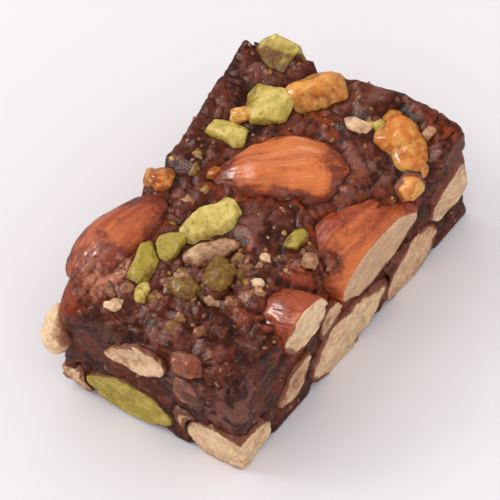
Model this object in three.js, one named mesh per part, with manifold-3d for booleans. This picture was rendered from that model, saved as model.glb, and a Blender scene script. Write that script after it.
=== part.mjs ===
// A piece of fig barfi: a hand-cut block of dark fig paste that is packed with whole and
// chopped almonds and pistachios. Millimetres, +Z up.
//
// +X runs along the block from its front end to its back end, and +Y from its right side to
// its left side. The origin is the middle of the flat underside. The places below are
// [along, across, up], measured from near the foot of the front right corner, and the whole
// block is centred at the end.
import * as THREE from "three";
import { mergeVertices } from "three/addons/utils/BufferGeometryUtils.js";
import Module from "manifold-3d";

const wasm = await Module();
wasm.setup();

// The block, as the knife cut it: a slightly skewed four-sided plan
const HEIGHT = 24;
const PLAN = {
  frontRight: [-1.3, 0.2],
  backRight: [58.4, 1.2],
  backLeft: [51.5, 40.0],
  frontLeft: [-5.2, 32.5],
};
const CORNERS = [PLAN.frontRight, PLAN.backRight, PLAN.backLeft, PLAN.frontLeft];
const LENGTH = distance(PLAN.frontRight, PLAN.backRight);
const WIDTH = distance(PLAN.backRight, PLAN.backLeft);

// The rounding of the block's edges, and the unevenness of its paste
const FRONT_EDGE = 3.6;
const BACK_EDGE = 1.4;
const FOOT_EDGE = 0.9;
const LUMP_SIZE = 7.5;
const LUMP_HEIGHT = 1.2;
const DENT_SHARE = 0.35; // how much of the unevenness is finer dents, this much smaller
const DENT_FINENESS = 2.1;
const SIDE_SHARE = 0.4; // the cut sides are flatter than the top
const FOOT_RISE = 4; // height over which the unevenness grows from the flat underside
const PASTE_INSET = 0.45; // the paste lies this far behind the cut faces of the nuts
const PASTE_STEP = 3.8; // size of the paste's facets

// Nuts
const GAP = 0.3; // between a nut and the paste or nut next to it
const FACET_SAG = 1.06; // a pocket's facets are flatter than its nut's, so it is this much larger
const CUT_PROUD = 0.2; // cut nuts stand this far out of the side planes
const HEADROOM = 6; // how far nuts may rise above the block's nominal top
const SMALLEST_NUT = 12; // cubic millimetres; what is cut smaller than this is left out
const SHRINK_STEPS = [1, 0.85, 0.7]; // sizes that are tried where a nut has little room
const CROWDED = 2; // cubic millimetres of overlap at which the next size is tried
const FACET_DEPTHS = [0.62, 0.78]; // how deep the chopping knife cut, as a share of the size

// The nuts of the plain faces: [length, width, thickness] from smallest to largest, how far
// their middles lie under the face, how far off the grid they are, and their lean in degrees
const LARGE_NUT = [[12, 18], [9, 11.5], [7, 8.8]];
const SMALL_NUT = [[8, 12], [6, 8], [5, 6.5]];
const SUNK = [1.2, 2.2];
const OFF_GRID = 0.05;
const TURNED = 20;

const SEED = 7;

// Local swellings and hollows of the paste: place, reach and height
const SWELLINGS = [
  { at: [6, 35.5, 19], reach: 9, height: 1.9 }, // over the almond in the left side
  { at: [2, 2, 23], reach: 9, height: -1.5 }, // the worn front right corner
  { at: [-2.2, 8.3, 15], reach: 5, height: 0.7 }, // the film-covered nut in the front end
  { at: [0, 14, 24], reach: 9, height: -1.2 }, // the front of the top sags
  { at: [57, 11, 20], reach: 11, height: 1.6 }, // the bowed back end
  { at: [28, 0, 22], reach: 9, height: -3.4 }, // the top edge gives way to the right almond
  { at: [40, 0, 21], reach: 9, height: -3.4 },
  { at: [34, 11.5, 24], reach: 4.5, height: -1.3 }, // hollow beside the middle almond
  { at: [40, 13, 24], reach: 4.5, height: 1.2 }, // lump of plain paste
  { at: [24, 17, 24], reach: 5, height: 0.7 },
  { at: [44, 36, 24], reach: 8, height: 0.6 },
  { at: [-4.6, 33.6, 20], reach: 6, height: 1.3 }, // the bulging front left corner
  { at: [7.5, 37, 20.5], reach: 6, height: 1.4 }, // the collar of the almond in the left side
];

// How round the two ends of a kind of nut are: 0.5 is as round as a ball, and more is pointed
const KINDS = {
  almond: { color: 0xa8502a, roughness: 0.42, fine: true, blunt: 0.5, point: 0.78 },
  almond_cut: { color: 0xd2b48c, roughness: 0.6, fine: true, blunt: 0.5, point: 0.7 },
  pistachio: { color: 0xb4b04c, roughness: 0.5, fine: false, blunt: 0.5, point: 0.58 },
  amber: { color: 0xd08a3a, roughness: 0.35, fine: false, blunt: 0.5, point: 0.55 },
};

// How a nut lies, in degrees: turn is about the vertical, from the block's long axis, tilt
// raises the pointed end, and roll is about the nut's own axis. chop is how many flat facets
// the knife left on it. A whole nut isn't trimmed at the block's sides.
function nut(name, kind, at, size, { turn = 0, tilt = 0, roll = 0, chop = 0, whole = false }) {
  return { name, kind, at, size, turn, tilt, roll, chop, whole };
}

const almond = (name, ...rest) => nut(`almond_${name}`, "almond", ...rest);
const almondCut = (name, ...rest) => nut(`almond_${name}`, "almond_cut", ...rest);
const pistachio = (name, ...rest) => nut(`pistachio_${name}`, "pistachio", ...rest);
const amber = (name, ...rest) => nut(`amber_${name}`, "amber", ...rest);

// Each nut's name, place and [length, width, thickness]
const TOP_NUTS = [
  almond("top_middle", [34.1, 19.9, 22.4], [22, 12.6, 8.8], { turn: 132, tilt: 2, roll: -8 }),
  almond("top_right", [34.7, 3.4, 17.4], [22.2, 15.0, 9.4], { turn: -8, tilt: -3, roll: 36 }),
  almond("top_left", [10.8, 32.8, 21.0], [21, 11.8, 9.0], { turn: -6, tilt: 2, roll: -28, whole: true }),
  almond("top_edge", [15.4, 4.8, 19.2], [19, 11, 9.8], { turn: 98, tilt: -14, roll: 10 }),
  amber("top_left", [22.4, 34.2, 21.8], [6.2, 5.4, 6.4], { turn: 20, tilt: 10, chop: 3, whole: true }),
  amber("top_back", [49.4, 24.6, 22.6], [12.6, 7.2, 7.0], { turn: -36, tilt: 2, roll: 6, chop: 3 }),
  amber("top_right", [50.0, 8.0, 22.4], [13.6, 8.2, 7.6], { turn: 50, roll: -8, chop: 4 }),
  amber("top_edge", [45.0, 2.6, 22.0], [6.0, 5.4, 5.4], { turn: 10, chop: 4 }),
  pistachio("top_front", [7.9, 26.0, 23.2], [8.6, 5.0, 5.6], { turn: 16, tilt: 3, roll: 10, chop: 2 }),
  pistachio("top_join", [12.9, 24.2, 22.9], [8.0, 5.6, 5.6], { turn: 24, chop: 3 }),
  pistachio("top_long", [20.2, 22.9, 22.9], [11.4, 7.6, 6.0], { turn: 166, tilt: 2, roll: -8, chop: 2 }),
  pistachio("top_small", [34.7, 30.6, 22.9], [8.4, 6.0, 5.4], { turn: 106, roll: 4, chop: 3 }),
  pistachio("top_large", [42.8, 29.3, 23.0], [10.6, 8.6, 6.6], { turn: 130, tilt: 4, chop: 4 }),
  pistachio("top_corner", [52.4, 33.2, 22.8], [8.2, 6.0, 6.0], { turn: 96, chop: 3, whole: true }),
  pistachio("top_edge", [25.6, 9.8, 23.0], [5.6, 3.8, 4.2], { turn: 12, chop: 3 }),
  almondCut("top_crumb", [48.2, 14.6, 23.2], [6.0, 3.4, 4.0], { turn: -70, chop: 3 }),
  almondCut("top_chip", [16.4, 18.8, 23.0], [9.6, 4.0, 4.4], { turn: -34, chop: 3 }),
];

const SIDE_NUTS = [
  almondCut("right_long", [26.8, 1.8, 5.4], [21, 11.4, 9.6], { turn: 2, tilt: 5, roll: 80 }),
  almondCut("right_middle", [22.6, 1.6, 13.6], [9, 6, 5.4], { turn: -2, tilt: 24, roll: 66, chop: 2 }),
  almondCut("right_foot", [43.0, 2.2, 4.6], [15.5, 10.8, 8.8], { turn: -2, tilt: 9, roll: 72 }),
  almondCut("right_back", [54.2, 3.6, 11.6], [14.2, 9.8, 8.6], { turn: 6, tilt: 46, roll: 80 }),
  almondCut("right_chip", [13.2, 1.6, 8.6], [11, 7.4, 6.4], { turn: 8, tilt: 52, chop: 2 }),
  almondCut("corner", [0.7, 3.4, 3.9], [15.5, 11, 9.2], { turn: -48, tilt: -4, roll: 20 }),
  almondCut("front_upper", [-2.9, 19.5, 16.8], [12.0, 7.0, 6.8], { turn: 96, tilt: -22, roll: 24 }),
  pistachio("front", [-2.8, 20.9, 4.6], [17, 8.6, 9.0], { turn: 97, tilt: -3, roll: 8 }),
  almondCut("front_middle", [-2.0, 10.0, 14.8], [6.8, 4.8, 5.2], { turn: 96, tilt: 50, chop: 3 }),
  almondCut("front_chip", [-1.3, 9.6, 5.8], [8.4, 5.4, 5.0], { turn: 100, tilt: 50, chop: 2 }),
  amber("front", [-1.2, 10.3, 21.0], [5.8, 4.0, 4.0], { turn: 96, tilt: 20, chop: 3 }),
  almondCut("front_crumb", [-4.2, 30.4, 3.4], [8.0, 5.4, 5.6], { turn: 96, tilt: 12, chop: 3 }),
  almondCut("front_left", [-4.3, 33.6, 13.6], [8.8, 5.0, 5.6], {
    turn: 40,
    tilt: 68,
    whole: true,
    chop: 1,
  }),
];

// Bits too small to be pieces of their own, lying in the paste: [along, across] and size
const CRUMBS = [
  { at: [3.4, 22.6], size: 2.2 },
  { at: [-0.6, 24.6], size: 2.2 },
  { at: [7.8, 17.6], size: 3.6 },
  { at: [12.8, 15.2], size: 4.4 },
  { at: [15.4, 9.6], size: 1.8 },
  { at: [19.8, 11.2], size: 2.0 },
  { at: [49.6, 12.6], size: 2.0 },
  { at: [53.4, 5.4], size: 2.0 },
  { at: [38.6, 30.6], size: 3.0 },
  { at: [23.6, 6.0], size: 2.4 },
  { at: [27.8, 27.6], size: 2.0 },
  { at: [4.0, 11.6], size: 2.2 },
];

// The other faces get nuts of the same kinds on an uneven grid. place turns a share along the
// face and a share up it into a point on the face, and depth is the way into the block.
const PLAIN_FACES = [
  {
    name: "left",
    columns: [0.32, 0.54, 0.74, 0.92],
    rows: [0.22, 0.66],
    place: (s, r) => [...onEdge(PLAN.frontLeft, PLAN.backLeft, s), r * HEIGHT],
    heading: 6,
    lean: 35,
    depth: [0, -1, 0],
  },
  {
    name: "back",
    columns: [0.24, 0.52, 0.8],
    rows: [0.24, 0.66],
    place: (s, r) => [...onEdge(PLAN.backRight, PLAN.backLeft, s), r * HEIGHT],
    heading: 100,
    lean: 35,
    depth: [-1, 0, 0],
  },
  {
    name: "foot",
    columns: [0.3, 0.7],
    rows: [0.32, 0.68],
    place: (s, r) => onEdge(...plotEnds(s), r).concat(0),
    heading: 20,
    lean: 6,
    depth: [0, 0, 1],
  },
];

function distance(a, b) {
  return Math.hypot(b[0] - a[0], b[1] - a[1]);
}

function onEdge(from, to, share) {
  return from.map((v, i) => v + (to[i] - v) * share);
}

// The same draw on every run
function drawer(seed) {
  let state = seed;
  return () => {
    state = (Math.imul(state, 1664525) + 1013904223) >>> 0;
    return state / 4294967296;
  };
}

function hash(i, j, k) {
  const s = Math.sin(i * 127.1 + j * 311.7 + k * 74.7) * 43758.5453;
  return s - Math.floor(s);
}

// Smooth value noise between -1 and 1
function noise(x, y, z) {
  const cell = [x, y, z].map(Math.floor);
  const ease = [x, y, z].map((v, i) => (v - cell[i]) ** 2 * (3 - 2 * (v - cell[i])));
  let sum = 0;
  for (let n = 0; n < 8; n++) {
    const step = [n & 1, (n >> 1) & 1, n >> 2];
    const weight = step.reduce((w, s, i) => w * (s ? ease[i] : 1 - ease[i]), 1);
    sum += weight * hash(cell[0] + step[0], cell[1] + step[1], cell[2] + step[2]);
  }
  return 2 * sum - 1;
}

// How far the paste stands out of the plain block at a point near its surface
function relief(p, normal) {
  const onTop = Math.max(0, normal.z);
  const share = SIDE_SHARE + (1 - SIDE_SHARE) * onTop;
  const lump = noise(p.x / LUMP_SIZE, p.y / LUMP_SIZE, p.z / LUMP_SIZE);
  const fine = LUMP_SIZE / DENT_FINENESS;
  const dent = noise(p.x / fine + 9, p.y / fine, p.z / fine);
  const uneven = (1 - DENT_SHARE) * lump + DENT_SHARE * dent;
  let out = LUMP_HEIGHT * share * uneven - PASTE_INSET * (1 - onTop);
  for (const { at, reach, height } of SWELLINGS) {
    const away = Math.hypot(p.x - at[0], p.y - at[1], p.z - at[2]) / reach;
    out += height * Math.exp(-away * away * 2);
  }
  return out * Math.min(1, p.z / FOOT_RISE);
}

// The points on the right and left sides of the plan at a share of its length
function plotEnds(share) {
  const right = onEdge(PLAN.frontRight, PLAN.backRight, share);
  const left = onEdge(PLAN.frontLeft, PLAN.backLeft, share);
  return [right, left];
}

function pasteBlock() {
  const half = new THREE.Vector3(LENGTH, WIDTH, HEIGHT).divideScalar(2);
  const counts = [LENGTH, WIDTH, HEIGHT].map((d) => Math.round(d / PASTE_STEP));
  const geometry = closed(new THREE.BoxGeometry(LENGTH, WIDTH, HEIGHT, ...counts));
  const position = geometry.getAttribute("position");
  const p = new THREE.Vector3();
  for (let i = 0; i < position.count; i++) {
    p.fromBufferAttribute(position, i);
    const up = (p.z + half.z) / HEIGHT;
    const topEdge = THREE.MathUtils.mapLinear(p.x, -half.x, half.x, FRONT_EDGE, BACK_EDGE);
    const edge = THREE.MathUtils.lerp(FOOT_EDGE, topEdge, up);
    const inner = half.clone().subScalar(edge);
    const core = p.clone().clamp(inner.clone().negate(), inner);
    const normal = p.clone().sub(core).normalize();
    p.copy(core).addScaledVector(normal, edge);
    const inPlan = onEdge(...plotEnds(p.x / LENGTH + 0.5), p.y / WIDTH + 0.5);
    p.set(...inPlan, p.z + half.z);
    p.addScaledVector(normal, relief(p, normal));
    position.setXYZ(i, p.x, p.y, p.z);
  }
  return geometry;
}

// The width of a nut at a share from -1, its blunt end, to 1, its point
function girth(share, { blunt, point }) {
  const widest = (blunt - point) / (blunt + point);
  const at = (v) => (1 + v) ** blunt * (1 - v) ** point;
  return at(Math.max(-1, Math.min(1, share))) / at(widest);
}

// The flat cuts that chopping left on a nut, as shares of its size
function knifeFacets(count, draw) {
  const [shallow, deep] = FACET_DEPTHS;
  return Array.from({ length: count }, () => ({
    normal: new THREE.Vector3(draw() * 2 - 1, draw() * 2 - 1, draw() * 1.2 - 0.8).normalize(),
    depth: shallow + (deep - shallow) * draw(),
  }));
}

// A nut's own shape, with its pointed end towards +X, or the pocket that it lies in. Pockets
// and chopped nuts have fewer facets than whole ones.
function nutGeometry({ kind, size, chop, index }, pocket) {
  const { blunt, point } = KINDS[kind];
  const fine = KINDS[kind].fine && !chop;
  const geometry = closed(new THREE.IcosahedronGeometry(1, fine && !pocket ? 2 : 1));
  const grow = fine && pocket ? FACET_SAG : 1;
  const margin = pocket ? GAP : 0;
  const position = geometry.getAttribute("position");
  const facets = knifeFacets(chop, drawer(SEED + 31 * index));
  const v = new THREE.Vector3();
  for (let i = 0; i < position.count; i++) {
    v.fromBufferAttribute(position, i);
    const across = Math.hypot(v.y, v.z);
    const swell = across > 1e-6 ? girth(v.x, { blunt, point }) / across : 0;
    v.y *= swell;
    v.z *= swell;
    for (const { normal, depth } of facets) {
      const reach = v.dot(normal);
      if (reach > depth) v.multiplyScalar(depth / reach);
    }
    v.set(...v.toArray().map((c, axis) => c * ((size[axis] / 2) * grow + margin)));
    position.setXYZ(i, v.x, v.y, v.z);
  }
  return geometry;
}

function closed(geometry) {
  geometry.deleteAttribute("normal");
  geometry.deleteAttribute("uv");
  return mergeVertices(geometry, 1e-5);
}

function placed(piece, pocket = false) {
  const [turn, tilt, roll] = [piece.turn, piece.tilt, piece.roll].map(THREE.MathUtils.degToRad);
  const matrix = new THREE.Matrix4()
    .makeRotationFromEuler(new THREE.Euler(roll, -tilt, turn, "ZYX"))
    .setPosition(...piece.at);
  return toSolid(nutGeometry(piece, pocket).applyMatrix4(matrix));
}

function toSolid(geometry) {
  const mesh = new wasm.Mesh({
    numProp: 3,
    vertProperties: new Float32Array(geometry.getAttribute("position").array),
    triVerts: new Uint32Array(geometry.index.array),
  });
  return new wasm.Manifold(mesh);
}

function toGeometry(solid) {
  const { numProp, vertProperties, triVerts } = solid.getMesh();
  const corners = new Float32Array(triVerts.length * 3);
  triVerts.forEach((v, i) => {
    for (let axis = 0; axis < 3; axis++) corners[3 * i + axis] = vertProperties[v * numProp + axis];
  });
  const geometry = new THREE.BufferGeometry();
  geometry.setAttribute("position", new THREE.BufferAttribute(corners, 3));
  geometry.computeVertexNormals();
  return geometry;
}

function largest(solid) {
  return solid.decompose().sort((a, b) => b.volume() - a.volume())[0];
}

// The space between the side planes: the plan, grown a little, from the underside upwards
function knifeSpace(grow) {
  const outline = CORNERS.map((corner, i) => {
    const before = CORNERS[(i + 3) % 4];
    const after = CORNERS[(i + 1) % 4];
    const [a, b] = [outward(before, corner), outward(corner, after)];
    const spread = 1 + a[0] * b[0] + a[1] * b[1];
    return new THREE.Vector2(
      corner[0] + (grow * (a[0] + b[0])) / spread,
      corner[1] + (grow * (a[1] + b[1])) / spread,
    );
  });
  const prism = new THREE.ExtrudeGeometry(new THREE.Shape(outline), {
    depth: HEIGHT + HEADROOM,
    bevelEnabled: false,
  });
  return toSolid(closed(prism));
}

// The unit normal, pointing out of the plan, of the edge from one corner to the next
function outward(from, to) {
  const [dx, dy] = [to[0] - from[0], to[1] - from[1]];
  const length = Math.hypot(dx, dy);
  return [dy / length, -dx / length];
}

function plainFaceNuts() {
  const draw = drawer(SEED);
  const between = (low, high) => low + (high - low) * draw();
  const kinds = ["almond_cut", "pistachio", "almond_cut", "almond_cut", "amber"];
  const nuts = [];
  for (const face of PLAIN_FACES) {
    const spots = face.rows.flatMap((row) => face.columns.map((column) => [column, row]));
    spots.forEach(([column, row], i) => {
      const kind = kinds[Math.floor(between(0, kinds.length))];
      const large = kind === "almond_cut";
      const onFace = face.place(
        column + between(-OFF_GRID, OFF_GRID),
        row + between(-OFF_GRID, OFF_GRID),
      );
      const sink = between(...SUNK);
      const at = onFace.map((v, axis) => v + face.depth[axis] * sink);
      const size = (large ? LARGE_NUT : SMALL_NUT).map(([low, high]) => between(low, high));
      nuts.push(
        nut(`${kind.split("_")[0]}_${face.name}_${i + 1}`, kind, at, size, {
          turn: face.heading + between(-TURNED, TURNED),
          tilt: between(-face.lean, face.lean),
          roll: between(0, 90),
          chop: large ? 0 : 2,
        }),
      );
    });
  }
  return nuts;
}

function crumb({ at, size }, index) {
  const draw = drawer(SEED + 57 * (index + 1));
  const geometry = closed(new THREE.IcosahedronGeometry(size / 2, 0));
  const up = relief(new THREE.Vector3(...at, HEIGHT), new THREE.Vector3(0, 0, 1));
  geometry.scale(1.3, 0.8 + 0.4 * draw(), 0.9);
  geometry.rotateZ(Math.PI * draw());
  geometry.translate(...at, HEIGHT + up + 0.1 * size);
  return toSolid(geometry);
}

function overlap(solid, pockets) {
  return pockets.reduce((sum, pocket) => sum + solid.intersect(pocket).volume(), 0);
}

// A nut at the first size that isn't crowded, or nothing where every size is
function fitted(piece, pockets) {
  for (const scale of SHRINK_STEPS) {
    const smaller = { ...piece, size: piece.size.map((v) => v * scale) };
    if (overlap(placed(smaller), pockets) < CROWDED) return smaller;
  }
  return null;
}

function build() {
  const knife = knifeSpace(CUT_PROUD);
  const ground = knifeSpace(HEADROOM);
  let paste = toSolid(pasteBlock());
  CRUMBS.forEach((bit, index) => {
    paste = paste.add(crumb(bit, index));
  });
  const pockets = [];
  const pieces = [];
  const shown = [...TOP_NUTS, ...SIDE_NUTS].map((piece) => ({ ...piece, byHand: true }));
  [...shown, ...plainFaceNuts()].forEach((drawn, index) => {
    const numbered = { ...drawn, index };
    const piece = drawn.byHand ? numbered : fitted(numbered, pockets);
    if (!piece) return;
    let solid = placed(piece).intersect(piece.whole ? ground : knife);
    for (const pocket of pockets) solid = solid.subtract(pocket);
    solid = largest(solid);
    if (!solid || solid.volume() < SMALLEST_NUT) return;
    const pocket = placed(piece, true);
    pockets.push(pocket);
    paste = paste.subtract(pocket);
    pieces.push({ name: piece.name, kind: piece.kind, solid });
  });
  return [{ name: "fig_paste", kind: "paste", solid: largest(paste) }, ...pieces];
}

const PASTE = { color: 0x4a2a20, roughness: 0.35 };
const barfi = new THREE.Group();
for (const { name, kind, solid } of build()) {
  const { color, roughness } = KINDS[kind] ?? PASTE;
  const material = new THREE.MeshStandardMaterial({ color, roughness, metalness: 0 });
  const mesh = new THREE.Mesh(toGeometry(solid), material);
  mesh.name = name;
  barfi.add(mesh);
}
const middle = new THREE.Box3().setFromObject(barfi).getCenter(new THREE.Vector3());
barfi.position.set(-middle.x, -middle.y, 0);

export default barfi;
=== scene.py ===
# A hand-cut piece of fig barfi: dark, sticky fig paste, packed with almonds and pistachios.
#
# Lengths are millimetres, and places are [along, across, up] from the block's front end, its
# right side and the floor. to_frame turns them into metres in the frame.
import math
import bmesh
import bpy
import numpy as np
from mathutils import Matrix, Vector
from mathutils.bvhtree import BVHTree
from mathutils.kdtree import KDTree


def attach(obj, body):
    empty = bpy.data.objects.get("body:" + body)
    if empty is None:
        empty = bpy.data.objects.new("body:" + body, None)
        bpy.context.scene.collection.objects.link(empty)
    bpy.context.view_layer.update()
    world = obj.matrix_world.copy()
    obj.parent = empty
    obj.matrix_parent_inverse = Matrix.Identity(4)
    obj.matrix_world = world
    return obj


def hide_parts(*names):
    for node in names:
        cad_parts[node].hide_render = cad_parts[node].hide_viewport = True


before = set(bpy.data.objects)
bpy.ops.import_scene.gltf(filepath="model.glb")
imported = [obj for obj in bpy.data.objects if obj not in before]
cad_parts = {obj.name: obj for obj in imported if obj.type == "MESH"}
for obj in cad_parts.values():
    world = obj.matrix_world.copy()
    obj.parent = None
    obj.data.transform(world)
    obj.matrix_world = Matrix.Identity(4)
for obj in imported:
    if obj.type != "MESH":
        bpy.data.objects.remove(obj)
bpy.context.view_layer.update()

MM = 0.001
SEED = 7

# The block's form, as in its solids: a slightly skewed plan, and its rounding
HEIGHT = 24.0
CORNERS = np.array([[-1.3, 0.2], [58.4, 1.2], [51.5, 40.0], [-5.2, 32.5]])
FRONT_RIGHT, BACK_RIGHT, BACK_LEFT, FRONT_LEFT = CORNERS
SIDES = list(zip(CORNERS, np.roll(CORNERS, -1, axis=0)))
FRONT_EDGE = 3.6  # how round its upper edges are at the front and the back, and its foot
BACK_EDGE = 1.4
FOOT_EDGE = 0.9
LUMP_SIZE = 7.5
LUMP_HEIGHT = 1.2
DENT_FINENESS = 2.1
DENT_SHARE = 0.35
DENT_SHIFT = 9.0
SIDE_SHARE = 0.4  # how much of the top's relief the sides have
FOOT_RISE = 4.0  # how high up the relief is full
PASTE_INSET = 0.45  # how far the paste's sides lie behind the plan
CUT_PROUD = 0.2  # how far the nuts' cut faces stand out of it

# Swellings and hollows of the solid's paste: place, reach, height
SWELLINGS = [
    ((6, 35.5, 19), 9, 1.9), ((2, 2, 23), 9, -1.5), ((-2.2, 8.3, 15), 5, 0.7),
    ((0, 14, 24), 9, -1.2), ((57, 11, 20), 11, 1.6), ((28, 0, 22), 9, -3.4),
    ((40, 0, 21), 9, -3.4), ((34, 11.5, 24), 4.5, -1.3), ((40, 13, 24), 4.5, 1.2),
    ((24, 17, 24), 5, 0.7), ((44, 36, 24), 8, 0.6), ((-4.6, 33.6, 20), 6, 1.3),
    ((7.5, 37, 20.5), 6, 1.4),
]

# Folds of the paste, and creases where the height is negative: start, end, width, height
FOLDS = [
    ((1.2, 22, 23.5), (3.4, 8, 23), 1.1, 0.75),
    ((4.6, 20.5, 24), (7.6, 8.6, 24), 1.3, 0.95),
    ((2.9, 21.5, 24), (5.4, 8.4, 24), 0.55, -0.6),
    ((-1.6, 22, 22), (0.4, 10, 22), 0.9, 0.55),
    ((9.2, 16.4, 24), (11.4, 10.2, 24), 1.2, 0.7),
    ((-0.4, 5.8, 22), (-1.4, 5.4, 10.5), 0.55, -0.75),
    ((0.4, 3.2, 22), (-1, 3, 12), 0.5, -0.6),
    ((-1, 7, 20.5), (-2.2, 6.6, 10), 0.7, 0.6),
    ((0, 4.5, 21), (-1.4, 4.1, 10.5), 0.6, 0.5),
    ((0.8, 1.8, 20.5), (-0.6, 1.6, 12), 0.6, 0.45),
    ((3.4, 7.6, 23.4), (5.2, 3.2, 23), 0.8, 0.5),
    ((-5.2, 30, 7), (-4.2, 22.5, 12), 0.8, -0.7),
    ((-4.2, 22.5, 12), (-2.8, 13.5, 12.2), 0.9, -0.8),
    ((-3.4, 13.5, 16.5), (-2.4, 8.4, 20), 0.7, -0.6),
    ((-2, 5.6, 18.5), (-1.8, 4.8, 11), 0.7, -0.5),
    ((-5.2, 32.4, 14), (-5.2, 32.4, 2.5), 1.8, 1.3),
]

# Where the paste is drawn out in strands: place, reach, depth
STRANDS = [
    ((1.5, 17, 22.5), 8.5, 0.5), ((-1, 8, 20), 6, 0.3),
]

# The paste's finer relief. Noises have a size and a shift, which gives each its own pattern,
# and layers of relief have a height before those. A level is where a ridged noise turns from
# hollow to ridge.
HASH = np.array([127.1, 311.7, 74.7])  # scatters the noise, with the scale
HASH_SCALE = 43758.5453
AXIS_SHIFTS = (3.0, 17.0, 29.0)
WARP = 0.9  # how far the relief's pattern is pushed about
WARP_SIZE = 4.0
FOLD_TAPER = 0.18  # the share of a fold in which its end fades out
STRAND_NOISE = ((0.95, 7.0, 0.95), 37.0)
STRAND_LEVEL = 0.4
PASTE_LUMPS = [(0.6, 3.4, 5.0), (0.4, 1.7, 11.0)]
PASTE_LUMP_LEVEL = 0.3
PASTE_GRAIN = (0.14, 0.8, 23.0)
PASTE_PORES = (0.06, 0.9, 31.0)
CRACK_NOISE = (4.6, 61.0)
CRACK_WIDTH = 0.16
CRACK_DEPTH = 0.3
SMOOTHNESS = 0.85  # how much of the relief the smooth places lose
PLATEAU = 1.5

# Where the paste is smooth: place, reach, strength
SMOOTH_PLACES = [
    ((0, 3, 17), 8.5, 1), ((24, 17, 24), 4, 1), ((40.5, 12, 24), 4.5, 1), ((53, 17, 24), 6, 1),
    ((-4.5, 27, 17), 6, 1),
]

# Where the paste is mauve, partly from the figs' own flesh and partly painted sheen, and where
# amber syrup shows
FLESH_AND_SHEEN_PLACES = [
    ((41, 11.5, 24), 4.5, 1), ((23.5, 16.5, 24), 4, 0.9), ((1.5, 17, 22), 7.5, 0.7),
    ((-1, 4, 14), 8, 0.8), ((12, 10, 24), 3.6, 0.9), ((56, 15, 24), 6, 0.5),
    ((30, 27, 24), 3, 0.5), ((43, 9, 24), 4, 0.8), ((-2.4, 9.7, 16), 3.6, 1),
]
SYRUP_PLACES = [
    ((55.5, 5, 22), 5, 0.9), ((19.5, 5.4, 23.4), 3, 1.3), ((-3.2, 31.2, 22), 3.6, 1.1),
    ((27, 27, 24), 4, 0.6), ((10, 8, 23), 3.5, 0.6), ((20, 14, 24), 3, 0.5),
    ((7, 29, 24), 4, 0.7), ((44, 19, 24), 4, 0.6), ((-3.5, 12.5, 17), 2.5, 0.7),
]

# Where the paste is a thin, rosy film over an almond's skin
ROSY_PLACES = [
    ((2.8, 30.8, 24.4), 4.4, 1.3), ((0, 29.6, 24.2), 3.6, 0.5), ((4.8, 28, 24.4), 2.8, 0.9),
    ((21, 7.2, 23.6), 2, 0.5), ((36.5, 9.6, 24.6), 2.4, 0.5), ((26.2, 4.3, 21.2), 2.2, 0.8),
]

# Where a film of paste lies over the nuts; on the left almond's flank, near 37 to 38.5 across, it
# is partly painted shadow
FILMS = [
    ((-1.6, 10.3, 22), 3.6, 1.1), ((-2.6, 9.7, 15.8), 4, 1.4), ((3, 37.5, 21), 3.6, 0.9),
    ((-4.3, 31.4, 14.6), 3, 1.3), ((7.5, 38.4, 22), 3.2, 1), ((12, 38.2, 22.5), 2.6, 0.7),
    ((39.8, 13.6, 25.5), 3, 0.5), ((16.4, 18.8, 24.5), 4.5, 0.4), ((2, 32, 24.5), 4, 1),
    ((19.5, 31, 23), 2.6, 0.6), ((47, 21.5, 25), 2.2, 0.25), ((26.8, 4.2, 21.2), 2.4, 1.3),
    ((30, 15, 25), 2.2, 0.2), ((-2.4, 8.4, 9), 3, 0.6), ((13, 0.6, 8), 3.5, 0.4),
    ((53, 0.5, 5.5), 3, 0.4),
]

FILM_LEVEL = 0.85
FILM_VARIES = 0.4
FILM_NOISE = (1.4, 47.0)
FILMED = (0.5, 0.75)  # the strengths of film between which the paste closes over a nut

PASTE_STEP = 0.34
COVER = 2.1  # paste thinner than this doesn't hide a nut
COVER_VARIES = 0.4
COVER_NOISE = (2.6, 53.0)
COVER_FADES = 0.6  # the share of the cover up to which a nut is laid bare fully
COVER_FACES = (0.15, 0.5)  # how nearly the nut has to face the way that the paste does
BARE_DEPTH = 0.3  # how far under a bare nut's surface the paste ends
FILM_DEPTH = 0.3
EVENED = (0.9, 2.0)  # distances from the nuts between which the ironing ends
EVENING_ROUNDS = 10
# how far from the nuts painted shade darkens the paste
NUT_SHADE = 1.6
IRONING_ROUNDS = 16  # ridges stand above the paste ironed so often

NUT_VOXEL = 0.25
SMALL_NUT_VOXEL = 0.2
SMALL_NUT = 8.5  # shorter nuts get the smaller voxels
NUT_ROUNDS = 40
SMALL_NUT_ROUNDS = 24
CUT_HELD = 0.97
IS_CUT = 0.5  # a point with more is on a cut face
ON_PLANE = (-0.42, -0.16)  # the depths between which points come to be on a plane
UNEVEN = [(4.4, 0.55), (1.9, 0.2)]  # how unevenly nuts are grown: size, shift
IRONING = (0.6, -0.615)  # how far points move to their neighbours' middle, and back

# The slices that the chopping knife took off a nut and off a small bit: how far from the
# middle they lie, as shares of its reach
KNIFE_DEPTHS = (0.6, 0.84)
KNIFE_WOBBLE = 0.22
KNIFE_REGROWN = 1.12  # keeps the size of what was sliced
BIT_CUTS = 12
BIT_DEPTHS = (0.58, 0.85)
BIT_LENGTHS = (1.1, 1.7)  # a bit's length and width, as shares of its height
BIT_WIDTHS = (0.9, 1.3)
BIT_LUMPS = 0.2
BIT_LUMP_SIZE = 0.9
BIT_RELIEF = [(0.22, 1.0, 7.0), (0.12, 0.5, 0.0)]
BIT_ROUGH = 2.5  # a larger bit has higher relief, up to a limit
BIT_ROUGHEST = 1.4

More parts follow.
